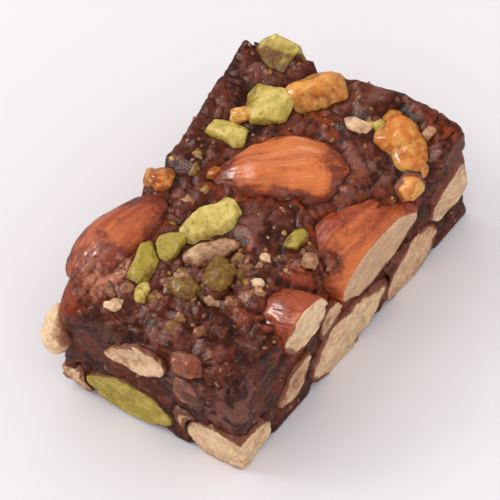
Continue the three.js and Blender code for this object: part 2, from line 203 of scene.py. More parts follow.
# The relief of the nuts: layers of height and size, shifted from one nut to the next
NUT_SHIFT = 13.0
ALMOND_RIDGES = (0.17, 0.8)
ALMOND_FINE_RIDGES = (0.08, 0.4, 5.0)
ALMOND_RIDGE_LEVEL = 0.5
ALMOND_RIDGE_ROWS = (4.6, 4.6, 1.1)  # how often they come across and along the nut
ALMOND_DENTS = (0.09, 2.6)
ALMOND_CHIPS = [(0.12, 1.8), (0.05, 0.6)]
ALMOND_RAGGED = [(0.35, 2.2), (0.15, 1.0)]
ALMOND_SCORES = (0.12, (2.6, 2.6, 0.7))
ALMOND_CUT_DEPTH = 0.1
PISTACHIO_LUMPS = [(0.16, 2.3), (0.08, 1.1), (0.05, 0.5)]
PISTACHIO_CUT_SHARE = 0.25
AMBER_LUMP_SIZE = 2.9
AMBER_LUMP_LEVEL = 0.32
AMBER_ROUND_LUMP = 0.9
AMBER_CHOPPED_LUMP = 0.5
AMBER_DENTS = (0.14, 1.2)
AMBER_CUT_SHARE = 0.5

SMEAR_NOISE = ((3.0, 3.0, 0.9), 59.0)  # how the knife drew paste over the cut faces
SMEAR_FILM = 0.35
SMEARED = (0.4, 0.95)
LAP_WIDTH = 0.6  # how far the paste laps over the rims of the cut faces
LAP_WIDTHS = {"almond_corner": 0.15, "pistachio_front": 0.1, "almond_right_back": 0.3}
LAP_NOISE = (2.4, 67.0)
LAP_SMEARS = 0.6
LAP_EDGE = 0.2
LAPPED = (1.3, 0.7)

# Nuts that show their skin, and chopped ones that show their pale flesh all round
SKINNED = ("almond_top_middle", "almond_top_right", "almond_top_left", "almond_top_edge")
PEELED = (
    *("almond_top_crumb", "almond_top_chip", "almond_right_chip", "almond_corner"),
    *(f"almond_front_{name}" for name in ("upper", "middle", "chip", "crumb", "left")),
)

# Nuts that only the underside may cut, and nuts that the chopping knife left round
WHOLE = ("almond_top_left", "almond_front_left", "amber_top_left", "pistachio_top_corner")
ROUND = (*SKINNED, "almond_front_left", "amber_front", "amber_top_left", "amber_top_right")

# How deep a nut's colour is, from pale 0 to deep 1, and its share of the film of paste, by
# the start and the end of its name. The other tones are drawn at random.
LOOKS = {
    "almond_top": {
        "middle": (0.1, 1.0), "right": (0.35, 0.35), "left": (0.4, 1.0), "edge": (0.45, 0.5),
        "chip": (0.95, 1.0), "crumb": (0.1, 0.4),
    },
    "pistachio_top": {
        "front": (0.9, 0.6), "join": (1.3, 0.9), "long": (0.1, 0.35), "large": (0.3, 0.5),
        "small": (0.15, 0.4), "corner": (0.6, 1.0), "edge": (0.8, 1.0),
    },
    "pistachio": {"front": (0.9, 0.5)},
    "almond_right": {
        "long": (0.4, 0.55), "middle": (0.9, 1.0), "foot": (0.7, 0.7), "back": (0.5, 0.5),
        "chip": (0.9, 1.0),
    },
    "almond": {"corner": (0.35, 0.7)},
    "almond_front": {
        "upper": (0.45, 0.8), "middle": (1.0, 1.0), "chip": (0.3, 1.0), "crumb": (0.1, 1.0),
        "left": (0.1, 1.0),
    },
    "amber_top": {
        "left": (0.6, 0.7), "back": (0.45, 0.4), "right": (0.7, 0.3), "edge": (0.6, 0.5),
    },
    "amber": {"front": (1.0, 1.0)},
}
TONE_RANGE = (0.2, 0.8)
FLESH_TONES = {"almond_top_edge": 0.15, "almond_top_right": 1.0}

# Painted shade: how much deeper a nut's colour is where it comes out of the paste, and at an
# almond's tips
PAINTED_SHADE_DEPTHS = {"almond": 0.45, "pistachio": 0.3, "amber": 0.15}
PAINTED_SHADE_REACH = (0.3, 2.5)
TIP_PAINTED_SHADE = 0.4
TIPS = (0.55, 1.0)

# The film on a nut where it comes out of the paste, and in its hollows
RIM_FILM = 0.85
RIM_CUT_LOSS = 0.4  # how much less of it a cut face has
RIM_FILMED = (-0.1, 1.0)
RIM_EDGE = [(0.35, 1.6, 41.0), (0.15, 0.7, 43.0)]
HOLLOW_FILM = {"almond": 0.3, "pistachio": 0.5, "amber": 0.75}
HOLLOWS = (0.0, -0.24)

SKIN_SYRUP = 0.6  # how syrupy the paste is next to an almond's skin
SYRUP_REACH = 3.0
BIT_FILM = 0.6  # how filmed a bit is next to the paste
BIT_FILMED = 0.6
BIT_FLESH_AND_SHEEN = 0.7

# The material of each kind of nut and bit
SLOTS = {"almond": "almond_cut", "pistachio": "pistachio", "fig": "fig_paste", "amber": "amber_nut"}

# The bits that the solid's paste carries: place, size, kind, tone, film
BITS = [
    ((3.4, 22.6), 2.4, "pistachio", 0.5, 0.2), ((-0.6, 24.6), 2.4, "almond", 0.4, 0.2),
    ((7.8, 17.6), 3.8, "pistachio", 1.2, 0.65), ((12.8, 15.2), 4.4, "pistachio", 1.1, 0.6),
    ((15.4, 9.6), 1.7, "almond", 0.1, 0), ((19.8, 11.2), 1.6, "almond", 0.4, 0.25),
    ((49.6, 12.6), 2.1, "pistachio", 0.4, 0.1), ((53.4, 5.4), 2.1, "almond", 0.9, 0.4),
    ((38.6, 30.6), 3.1, "amber", 0.4, 0.2), ((23.6, 6), 2.8, "almond", 1, 0.5),
    ((27.8, 27.6), 2.1, "amber", 0.9, 0.5), ((4, 11.6), 2.3, "almond", 1, 0.75),
]

# The chopped bits that make the paste lumpy, and the fine crumbs. A spot is its middle, its
# spread and how many lie there, sunk is a share of their size, and clear is how far from the
# nuts they stay.
RUBBLE = {
    "spots": [
        ((10, 18.5), (5.5, 4.6), 46), ((15, 12.5), (5, 4), 30), ((5, 25), (3.4, 4), 14),
        ((26, 8), (3.4, 2.2), 9), ((38, 26.5), (5, 4), 12), ((50, 14), (3.4, 5), 10),
        ((24, 29), (6, 4), 10), ((48, 33), (4, 3), 8),
    ],
    "kinds": ("almond", "pistachio", "fig", "fig", "fig"),
    "sizes": (1.2, 3.2),
    "films": (0.5, 0.95),
    "sunk": 0.2,
    "clear": 0.1,
    "detail": 3,
}
CRUMBS = {
    "spots": [
        ((8.5, 20.5), (4.2, 2.6), 34), ((13, 15), (3.4, 3), 26), ((19, 11), (4, 3.2), 14),
        ((36.5, 29.5), (2.6, 2.6), 16), ((49.5, 11.5), (3.6, 4.6), 18),
        ((25, 7), (2.6, 2.2), 12), ((50, 31), (3, 4), 14), ((30, 24), (22, 12), 46),
    ],
    "kinds": ("almond", "pistachio", "fig", "amber"),
    "sizes": (0.35, 1.15),
    "films": (0.3, 0.85),
    "sunk": 0.05,
    "clear": 0.3,
    "detail": 2,
}
CROWDING = 1.6  # how much closer together the bits lie than the spread
SMALL_MANY = 1.4  # above 1 it makes small bits commoner
BIT_CLEAR = 0.3  # the share of its size that a bit stays further off
LEVEL = 0.7  # how nearly the paste under a bit has to face up
WELL_ABOVE = HEIGHT + 20.0
LARGE_BIT_DETAIL = 4
LARGE_BIT_RISE = 0.1
SEED_COUNT = 220
SEED_DETAIL = 2
SEED_SIZE = (0.95, 0.7, 0.6)
SEED_SCALES = (0.75, 1.1)
SEED_LEAN = 0.5
SEED_SUNK = 0.12
SEED_CLEAR = 0.5
SEEDLESS = 0.8  # no seed lies lower

# The camera: what it aims at, and in degrees where it looks from
AIM = np.array([25.76, 19.47, 12.0])
AZIMUTH = -49.5
ELEVATION = 56.65
ROLL = -3.0
DISTANCE = 879.5
LENS = 406.3
CLIP = (0.01, 20.0)


def unit(vectors):
    return vectors / np.maximum(np.linalg.norm(vectors, axis=-1, keepdims=True), 1e-12)


def outward(side):
    """The direction out of the plan at one of its sides."""
    dx, dy = side[1] - side[0]
    return np.array([dy, -dx]) / math.hypot(dx, dy)


def mesh_points(mesh):
    points = np.empty(len(mesh.vertices) * 3)
    mesh.vertices.foreach_get("co", points)
    return points.reshape(-1, 3)


def mesh_faces(mesh):
    return np.array([list(face.vertices) for face in mesh.polygons])


def node_points(node):
    return mesh_points(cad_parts[node].data) / MM


def added(name, data):
    """A new object in the scene, from a mesh, lamp or camera."""
    thing = bpy.data.objects.new(name, data)
    bpy.context.scene.collection.objects.link(thing)
    return thing


def block_origin():
    """Where the block's coordinates start, from the flat cut faces of two nuts."""
    normals = []
    places = []
    for node, side in (("almond_right_long", SIDES[0]), ("pistachio_front", SIDES[3])):
        normal = outward(side)
        normals.append(normal)
        places.append((node_points(node)[:, :2] @ normal).max() - CUT_PROUD - normal @ side[0])
    return np.append(np.linalg.solve(normals, places), 0.0)


ORIGIN = block_origin()

# The knife's planes and the underside: outward direction and reach
PLANES = [(np.append(outward(side), 0.0), outward(side) @ side[0] + CUT_PROUD) for side in SIDES]
PLANES.append((np.array([0.0, 0.0, -1.0]), 0.0))


def to_frame(points):
    return (np.asarray(points, float) + ORIGIN) * MM


def smoothstep(low, high, values):
    share = np.clip((values - low) / (high - low), 0, 1)
    return share * share * (3 - 2 * share)


def value_noise(points, size, shift=0.0):
    """Smooth noise from -1 to 1 that swells about once in each size."""
    p = points / size + np.array([shift, 0.0, 0.0])
    cell = np.floor(p)
    ease = (p - cell) ** 2 * (3 - 2 * (p - cell))
    total = np.zeros(len(p))
    for corner in range(8):
        step = np.array([corner & 1, corner >> 1 & 1, corner >> 2])
        weight = np.where(step == 1, ease, 1 - ease).prod(axis=1)
        wave = np.sin((cell + step) @ HASH) * HASH_SCALE
        total += weight * (wave - np.floor(wave))
    return 2 * total - 1


def layered(points, layers, shift=0.0):
    """The sum of noises with a height, a size and perhaps a shift of its own."""
    return sum(
        height * value_noise(points, size, shift + sum(own)) for height, size, *own in layers
    )


def noise_vectors(points, size):
    """Smooth noise along each of the three axes."""
    return np.column_stack([value_noise(points, size, shift) for shift in AXIS_SHIFTS])


def blob(points, at, reach):
    """1 at a place, and less with the distance from it."""
    away = np.linalg.norm(points - np.array(at, float), axis=1) / reach
    return np.exp(-away * away * 2)


def plateau(points, at, reach):
    """A blob with a level middle."""
    return np.minimum(1, PLATEAU * blob(points, at, reach))


def plan_point(along, across):
    """Points of the plan, from their shares of the length and the width."""
    right = FRONT_RIGHT + np.outer(along, BACK_RIGHT - FRONT_RIGHT)
    left = FRONT_LEFT + np.outer(along, BACK_LEFT - FRONT_LEFT)
    return right + (left - right) * across[:, None]


def box_grid(counts):
    """The corners of the squares that cover a box, as whole steps, and the squares."""
    squares = []
    for axis in range(3):
        u, v = (axis + 1) % 3, (axis + 2) % 3
        a, b = (g.ravel() for g in np.meshgrid(range(counts[u]), range(counts[v]), indexing="ij"))
        for side in (0, counts[axis]):
            ring = [(0, 0), (1, 0), (1, 1), (0, 1)]
            corners = np.zeros((len(a), 4, 3), int)
            for n, (du, dv) in enumerate(ring if side else ring[::-1]):
                corners[:, n, axis] = side
                corners[:, n, u] = a + du
                corners[:, n, v] = b + dv
            squares.append(corners)
    steps, faces = np.unique(np.concatenate(squares).reshape(-1, 3), axis=0, return_inverse=True)
    return steps, faces.reshape(-1, 4)


def block_form():
    """The paste's form without its finer relief: points, directions outward and faces."""
    length = np.linalg.norm(BACK_RIGHT - FRONT_RIGHT)
    width = np.linalg.norm(BACK_LEFT - BACK_RIGHT)
    size = np.array([length, width, HEIGHT])
    counts = np.round(size / PASTE_STEP).astype(int)
    steps, faces = box_grid(counts)
    share = steps / counts
    p = (share - 0.5) * size
    top_edge = FRONT_EDGE + (BACK_EDGE - FRONT_EDGE) * share[:, 0]
    edge = (FOOT_EDGE + (top_edge - FOOT_EDGE) * share[:, 2])[:, None]
    core = np.clip(p, edge - size / 2, size / 2 - edge)
    normal = unit(p - core)
    p = core + normal * edge
    plan = plan_point(p[:, 0] / length + 0.5, p[:, 1] / width + 0.5)
    p = np.column_stack([plan, p[:, 2] + HEIGHT / 2])

    on_top = np.maximum(normal[:, 2], 0)
    lump = value_noise(p, LUMP_SIZE)
    dent = value_noise(p, LUMP_SIZE / DENT_FINENESS, DENT_SHIFT)
    out = (1 - DENT_SHARE) * lump + DENT_SHARE * dent
    out *= LUMP_HEIGHT * (SIDE_SHARE + (1 - SIDE_SHARE) * on_top)
    out -= PASTE_INSET * (1 - on_top)
    for at, reach, height in SWELLINGS:
        out += height * blob(p, at, reach)
    out *= np.minimum(1, p[:, 2] / FOOT_RISE)
    return p + normal * out[:, None], normal, faces


def along_line(points, start, end):
    """Each point's distance from a line between two places, and its share of the way."""
    start, end = np.array(start, float), np.array(end, float)
    way = end - start
    share = np.clip((points - start) @ way / (way @ way), 0, 1)
    return np.linalg.norm(points - start - share[:, None] * way, axis=1), share


def distances(points, tree, reach):
    """Each point's distance from a surface, or reach where it is further away."""
    found = (tree.find_nearest(Vector(p), reach)[3] for p in points)
    return np.array([reach if d is None else d for d in found])


def amount_at(points, places):
    """How much there is at each point, from 0 to 1, of what lies round some places."""
    return np.clip(sum(strength * blob(points, at, reach) for at, reach, strength in places), 0, 1)


def film_amount(points):
    """How much of a film of paste lies over the nuts, unevenly as if smeared."""
    films = [strength * plateau(points, at, reach) for at, reach, strength in FILMS]
    amount = np.max(films, axis=0)
    return np.clip(amount * (FILM_LEVEL + FILM_VARIES * value_noise(points, *FILM_NOISE)), 0, 1)


def laid_bare(points, normal, nut_tree):
    """Draws paste that would cover a nut thinly into the nut, or down to a film on it."""
    cover = COVER + COVER_VARIES * value_noise(points, *COVER_NOISE)
    filmed = smoothstep(*FILMED, film_amount(points))
    moved = points.copy()
    for i, point in enumerate(points):
        place, facing, _, away = nut_tree.find_nearest(Vector(point), cover[i])
        if place is None or (Vector(point) - place).dot(facing) <= 0:
            continue
        share = smoothstep(*COVER_FACES, facing.dot(Vector(normal[i])))
        share *= smoothstep(cover[i], COVER_FADES * cover[i], away)
        bare = np.array(place) - BARE_DEPTH * normal[i]
        film = np.array(place) + FILM_DEPTH * np.array(facing)
        moved[i] += share * (bare + filmed[i] * (film - bare) - point)
    return moved


def paste_surface(nut_tree):
    """The paste's points and faces, and values for its material."""
    p, normal, faces = block_form()
    on_top = np.maximum(normal[:, 2], 0)
    rough = 1 - SMOOTHNESS * amount_at(p, SMOOTH_PLACES)
    warped = p + WARP * noise_vectors(p, WARP_SIZE)

    out = layered(p, [PASTE_PORES])
    for start, end, width, height in FOLDS:
        away, share = along_line(warped, start, end)
        taper = smoothstep(0, FOLD_TAPER, share) * smoothstep(1, 1 - FOLD_TAPER, share)
        out += height * np.exp(-((away / width) ** 2)) * taper
    strands = STRAND_LEVEL - np.abs(value_noise(warped, *STRAND_NOISE))
    for at, reach, depth in STRANDS:
        out += depth * strands * plateau(p, at, reach)
    lumps = layered(p, [PASTE_GRAIN])
    for height, size, shift in PASTE_LUMPS:
        lumps += height * (np.abs(value_noise(warped, size, shift)) - PASTE_LUMP_LEVEL)
    out += lumps * rough * (SIDE_SHARE + (1 - SIDE_SHARE) * on_top)
    cracks = 1 - smoothstep(0.0, CRACK_WIDTH, np.abs(value_noise(warped, *CRACK_NOISE)))
    out -= CRACK_DEPTH * cracks * rough
    out *= np.clip(p[:, 2] / FOOT_RISE, 0, 1)

    p = laid_bare(p + normal * out[:, None], normal, nut_tree)
    away = distances(p, nut_tree, EVENED[1])
    p = smoothed(p, faces, smoothstep(*EVENED, away), EVENING_ROUNDS)
    p[:, 2] = np.maximum(p[:, 2], 0)
    ironed = smoothed(p, faces, np.zeros(len(p)), IRONING_ROUNDS)
    values = {
        # how near each point is to a nut, for the painted shade where the paste meets the nuts
        "near_nut": 1 - distances(p, nut_tree, NUT_SHADE) / NUT_SHADE,
        "above": ((p - ironed) * normal).sum(axis=1),
        "flesh_and_sheen": amount_at(warped, FLESH_AND_SHEEN_PLACES),
        "syrup": amount_at(warped, SYRUP_PLACES),
        "rosy": amount_at(warped, ROSY_PLACES),
    }
    return p, faces, values


def remeshed(node, voxel):
    """The node's solid as an even mesh of small squares."""
    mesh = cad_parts[node].data.copy()
    mesh.transform(Matrix.Scale(1 / MM, 4))
    piece = added("remesh", mesh)
    remesh = piece.modifiers.new("remesh", "REMESH")
    remesh.mode = "VOXEL"
    remesh.voxel_size = voxel
    evaluated = piece.evaluated_get(bpy.context.evaluated_depsgraph_get())
    result = bpy.data.meshes.new_from_object(evaluated)
    points, faces = mesh_points(result), mesh_faces(result)
    bpy.data.objects.remove(piece)
    bpy.data.meshes.remove(mesh)
    bpy.data.meshes.remove(result)
    return points - ORIGIN, faces


def face_normals(points, faces):
    """The directions of four-sided faces, twice as long as their areas."""
    a, b, c, d = (points[faces[:, corner]] for corner in range(4))
    return np.cross(c - a, d - b)


def point_normals(points, faces):
    across = face_normals(points, faces)
    normals = np.zeros_like(points)
    for corner in range(4):
        np.add.at(normals, faces[:, corner], across)
    return unit(normals)


def smoothed(points, faces, held, rounds):
    """Irons out facets without shrinking the form. Points that are held stay put."""
    edges = np.concatenate([faces[:, [i, (i + 1) % 4]] for i in range(4)])
    edges = np.unique(np.sort(edges, axis=1), axis=0)
    ends = np.concatenate([edges, edges[:, ::-1]])
    count = np.bincount(ends[:, 0], minlength=len(points))[:, None]
    for _ in range(rounds):
        for pull in IRONING:
            sums = [np.bincount(ends[:, 0], at[ends[:, 1]], len(points)) for at in points.T]
            middles = np.column_stack(sums) / count
            points = points + pull * (1 - held[:, None]) * (middles - points)
    return points


def on_plane(points, plane):
    """1 on the points that lie on a plane, and 0 well under it."""
    normal, reach = plane
    return smoothstep(*ON_PLANE, points @ normal - reach)


def made_uneven(points, planes):
    """Shifts the points smoothly, as in all the nuts, and keeps flat faces flat."""
    moved = points
    for size, amount in UNEVEN:
        moved = moved + amount * noise_vectors(points, size)
    for plane in planes:
        normal, reach = plane
        off = (moved - points) @ normal
        over = np.maximum(moved @ normal - reach, 0)
        back = np.maximum(on_plane(points, plane) * off, over)
        moved -= back[:, None] * normal
    return moved


def own_axes(points):
    """A nut's middle, its axes, longest first, and half its size along them."""
    middle = (points.min(axis=0) + points.max(axis=0)) / 2
    _, axes = np.linalg.eigh(np.cov((points - points.mean(axis=0)).T))
    axes = axes[:, ::-1]
    own = (points - middle) @ axes
    if (own[:, 0] ** 3).mean() < 0:
        axes[:, :2] *= -1
    return middle, axes, np.abs((points - middle) @ axes).max(axis=0)


def knife_cut(points, cuts, depths, draw):
    """Takes slices off a round shape of radius 1, as a chopping knife does."""
    for cut in cuts:
        reach = points @ cut
        depth = draw.uniform(*depths)
        points = np.where(reach[:, None] > depth, points - (reach - depth)[:, None] * cut, points)
    return points


class Nut:
    """One nut: its solid's form, made smooth, with the relief of its kind."""

    def __init__(self, node, index):
        self.node = node
        self.kind = node.split("_")[0]
        draw = np.random.default_rng(SEED + index)
        start, _, end = node.rpartition("_")
        drawn = (draw.uniform(*TONE_RANGE), 1.0)
        tone, self.film_share = LOOKS.get(start, {}).get(end, drawn)
        middle, axes, half = own_axes(node_points(node) - ORIGIN)
        small = 2 * half[0] < SMALL_NUT
        points, self.faces = remeshed(node, SMALL_NUT_VOXEL if small else NUT_VOXEL)
        planes = PLANES[-1:] if node in WHOLE else PLANES
        self.cut = np.max([on_plane(points, plane) for plane in planes], axis=0)
        rounds = SMALL_NUT_ROUNDS if small else NUT_ROUNDS
        points = smoothed(points, self.faces, CUT_HELD * self.cut, rounds)
        points = made_uneven(points, planes)
        own = (points - middle) @ axes / half
        if node not in ROUND and self.cut.max() < IS_CUT:
            squared = np.concatenate([np.eye(3), -np.eye(3)])
            cuts = unit(squared + KNIFE_WOBBLE * draw.normal(size=squared.shape))
            own = knife_cut(own, cuts, KNIFE_DEPTHS, draw) * KNIFE_REGROWN
            points = own * half @ axes.T + middle
        around = unit(own[:, 1:])
        self.streak = np.column_stack([around, own[:, 0]])
        self.peel = np.ones(len(points)) if node in PEELED else self.cut
        self.tones = np.where(self.cut > IS_CUT, FLESH_TONES.get(node, tone), tone)
        self.relief = getattr(self, self.kind)(points, NUT_SHIFT * index)
        self.points = points + point_normals(points, self.faces) * self.relief[:, None]
        self.points[:, 2] = np.maximum(self.points[:, 2], 0)

    def almond(self, points, shift):
        """Ridges along the skin, and chips and scores in the flesh."""
        rows = self.streak * np.array(ALMOND_RIDGE_ROWS)
        height, size = ALMOND_RIDGES
        skin = height * (ALMOND_RIDGE_LEVEL - np.abs(value_noise(rows, size, shift)))
        skin += layered(rows, [ALMOND_FINE_RIDGES], shift) + layered(points, [ALMOND_DENTS], shift)
        chips = layered(points, ALMOND_CHIPS, shift)
        scored = chips + layered(points, [ALMOND_SCORES], shift) - ALMOND_CUT_DEPTH
        broken = layered(points, ALMOND_RAGGED, shift) if self.node in PEELED else chips
        flesh = np.where(self.cut > IS_CUT, scored, broken)
        return skin * (1 - self.peel) + flesh * self.peel

    def pistachio(self, points, shift):
        lumps = layered(points, PISTACHIO_LUMPS, shift)
        return lumps * (1 - (1 - PISTACHIO_CUT_SHARE) * self.cut)

    def amber(self, points, shift):
        height = AMBER_ROUND_LUMP if self.node in ROUND else AMBER_CHOPPED_LUMP
        lumps = height * (np.abs(value_noise(points, AMBER_LUMP_SIZE, shift)) - AMBER_LUMP_LEVEL)
        lumps += layered(points, [AMBER_DENTS], shift)
        return lumps * (1 - (1 - AMBER_CUT_SHARE) * self.cut)


def tree_of(meshes):
    """One search tree over several (points, faces)."""
    points, faces, start = [], [], 0
    for p, f in meshes:
        points.append(p)
        faces.append(f + start)
        start += len(p)
    return BVHTree.FromPolygons(np.concatenate(points).tolist(), np.concatenate(faces).tolist())


def from_rim(nut):
    """How far each point of a nut lies from the rim of its cut face."""
    rim = nut.points[nut.cut < IS_CUT]
    tree = KDTree(len(rim))
    for index, point in enumerate(rim):
        tree.insert(point, index)
    tree.balance()
    found = (tree.find(point)[2] if cut else 0.0 for point, cut in zip(nut.points, nut.cut))
    return np.array(list(found))


def tones_of(nut, away):
    """How deep a nut's colour is, with painted shade that is deeper the nearer each point lies to
    the paste, and at an almond's tips.
    """
    shade_depth = PAINTED_SHADE_DEPTHS[nut.kind] * (1 - smoothstep(*PAINTED_SHADE_REACH, away))
    if nut.kind == "almond":
        shade_depth += TIP_PAINTED_SHADE * smoothstep(*TIPS, np.abs(nut.streak[:, 2]))
    return nut.tones + shade_depth * (1 - nut.cut)


def film_over(nut, away):
    """How much paste is smeared over each point of a nut."""
    away = away + layered(nut.points, RIM_EDGE)
    film = RIM_FILM * (1 - smoothstep(*RIM_FILMED, away)) * (1 - RIM_CUT_LOSS * nut.cut)
    smears = value_noise(nut.points, *SMEAR_NOISE)
    film = np.maximum(film, SMEAR_FILM * nut.cut * smoothstep(*SMEARED, smears))
    film = np.maximum(film, HOLLOW_FILM[nut.kind] * smoothstep(*HOLLOWS, nut.relief))
    film *= nut.film_share
    if nut.cut.max() > IS_CUT:
        width = LAP_WIDTHS.get(nut.node, LAP_WIDTH)
        lapped = width * (1 + value_noise(nut.points, *LAP_NOISE) + LAP_SMEARS * smears)
        laps = smoothstep(lapped + LAP_EDGE, lapped - LAP_EDGE, from_rim(nut))
        laps *= smoothstep(*LAPPED, away)
        film = np.maximum(film, laps * (nut.cut if nut.node in SKINNED else 1))
    return np.clip(np.maximum(film, film_amount(nut.points)), 0, 1)


def ball(detail):
    """A round mesh of triangles with radius 1."""
    mesh = bpy.data.meshes.new("ball")
    shape = bmesh.new()
    bmesh.ops.create_icosphere(shape, subdivisions=detail, radius=1)
    shape.to_mesh(mesh)
    shape.free()
    points, faces = mesh_points(mesh), mesh_faces(mesh)
    bpy.data.meshes.remove(mesh)
    return points, faces


def turned(points, draw, up):
    """The points turned at random about their +Z, which is turned to the direction up."""
    spin = Matrix.Rotation(draw.uniform(0, 2 * math.pi), 3, "Z")
    lean = Vector((0, 0, 1)).rotation_difference(Vector(up)).to_matrix()
    return points @ np.array(lean @ spin).T


def chopped_bit(size, draw, detail):
    """A bit of chopped nut, with flat knife cuts and a rough surface."""
    points, faces = ball(detail)
    cuts = unit(draw.normal(size=(BIT_CUTS, 3)))
    points = knife_cut(points, cuts, BIT_DEPTHS, draw)
    form = np.array([draw.uniform(*BIT_LENGTHS), draw.uniform(*BIT_WIDTHS), 1.0])
    points = points * form * size / 2
    shift = draw.uniform(0, 99)
    rough = BIT_LUMPS * value_noise(points, max(BIT_LUMP_SIZE, size / 2), shift)
    rough += layered(points, BIT_RELIEF, shift)
    return points + unit(points) * (rough * min(BIT_ROUGHEST, size / BIT_ROUGH))[:, None], faces


def on_paste(tree, x, y):
    """The place and direction of the paste's surface above a point of the plan."""
    place, normal, _, _ = tree.ray_cast(Vector((x, y, WELL_ABOVE)), Vector((0, 0, -1)))
    return (None, None) if place is None else (np.array(place), np.array(normal))


class Heap:
    """Small pieces of one kind, gathered into one mesh."""

    def __init__(self):
        self.parts = []
        self.count = 0

    def add(self, points, faces, tone, film=0.0):
        size = len(points)
        self.parts.append((points, faces + self.count, np.full(size, tone), np.full(size, film)))
        self.count += size

    def mesh(self):
        """Their points, faces, tones and films."""
        return [np.concatenate(column) for column in zip(*self.parts)]


def scatter(grade, draw, trees, heaps):
    """Scatters one grade of bits round its spots."""
    paste_tree, nut_tree = trees
    low, high = grade["sizes"]
    for (x, y), (dx, dy), count in grade["spots"]:
        for _ in range(count):
            at = (x + dx * draw.normal() / CROWDING, y + dy * draw.normal() / CROWDING)
            place, up = on_paste(paste_tree, *at)
            size = low + (high - low) * draw.random() ** SMALL_MANY
            kind = grade["kinds"][draw.integers(len(grade["kinds"]))]
            points, faces = chopped_bit(size, draw, grade["detail"])
            tone, film = draw.random(), draw.uniform(*grade["films"])
            near = grade["clear"] + BIT_CLEAR * size
            if place is None or up[2] < LEVEL or nut_tree.find_nearest(Vector(place), near)[0]:
                continue
            points = turned(points, draw, up) + place - grade["sunk"] * size * up
            heaps[kind].add(points, faces, tone, film)


def scatter_bits(paste_tree, nut_tree):
    """The bits and crumbs on the paste, a heap for each kind."""
    draw = np.random.default_rng(SEED)
    heaps = {kind: Heap() for kind in SLOTS}
    for (x, y), size, kind, tone, film in BITS:
        place, up = on_paste(paste_tree, x, y)
        points, faces = chopped_bit(size, draw, LARGE_BIT_DETAIL)
        points = turned(points, draw, up) + place + LARGE_BIT_RISE * size * up
        heaps[kind].add(points, faces, tone, film)
    for grade in (RUBBLE, CRUMBS):
        scatter(grade, draw, (paste_tree, nut_tree), heaps)
    return heaps


def scatter_seeds(paste, faces, nut_tree):
    """Fig seeds, half sunk in the paste."""
    draw = np.random.default_rng(SEED + 1)
    across = face_normals(paste, faces)
    places = (paste[faces[:, 0]] + paste[faces[:, 2]]) / 2
    area = np.linalg.norm(across, axis=1)
    area[paste[faces[:, 0], 2] < SEEDLESS] = 0
    seeds = Heap()
    shape, rounds = ball(SEED_DETAIL)
    for face in draw.choice(len(faces), 2 * SEED_COUNT, p=area / area.sum()):
        scale = draw.uniform(*SEED_SCALES)
        tone = draw.random()
        up = unit(unit(across[face]) + SEED_LEAN * draw.normal(size=3))
        points = turned(shape * np.array(SEED_SIZE) / 2 * scale, draw, up)
        clear = nut_tree.find_nearest(Vector(places[face]), SEED_CLEAR)[0] is None
        if clear and len(seeds.parts) < SEED_COUNT:
            seeds.add(points + places[face] - SEED_SUNK * up, rounds, tone)
    return seeds


def linear(red, green, blue):
    """A colour from its 0 to 255 screen values."""
    shares = (c / 255 for c in (red, green, blue))
    return [*(c / 12.92 if c < 0.04045 else ((c + 0.055) / 1.055) ** 2.4 for c in shares), 1.0]


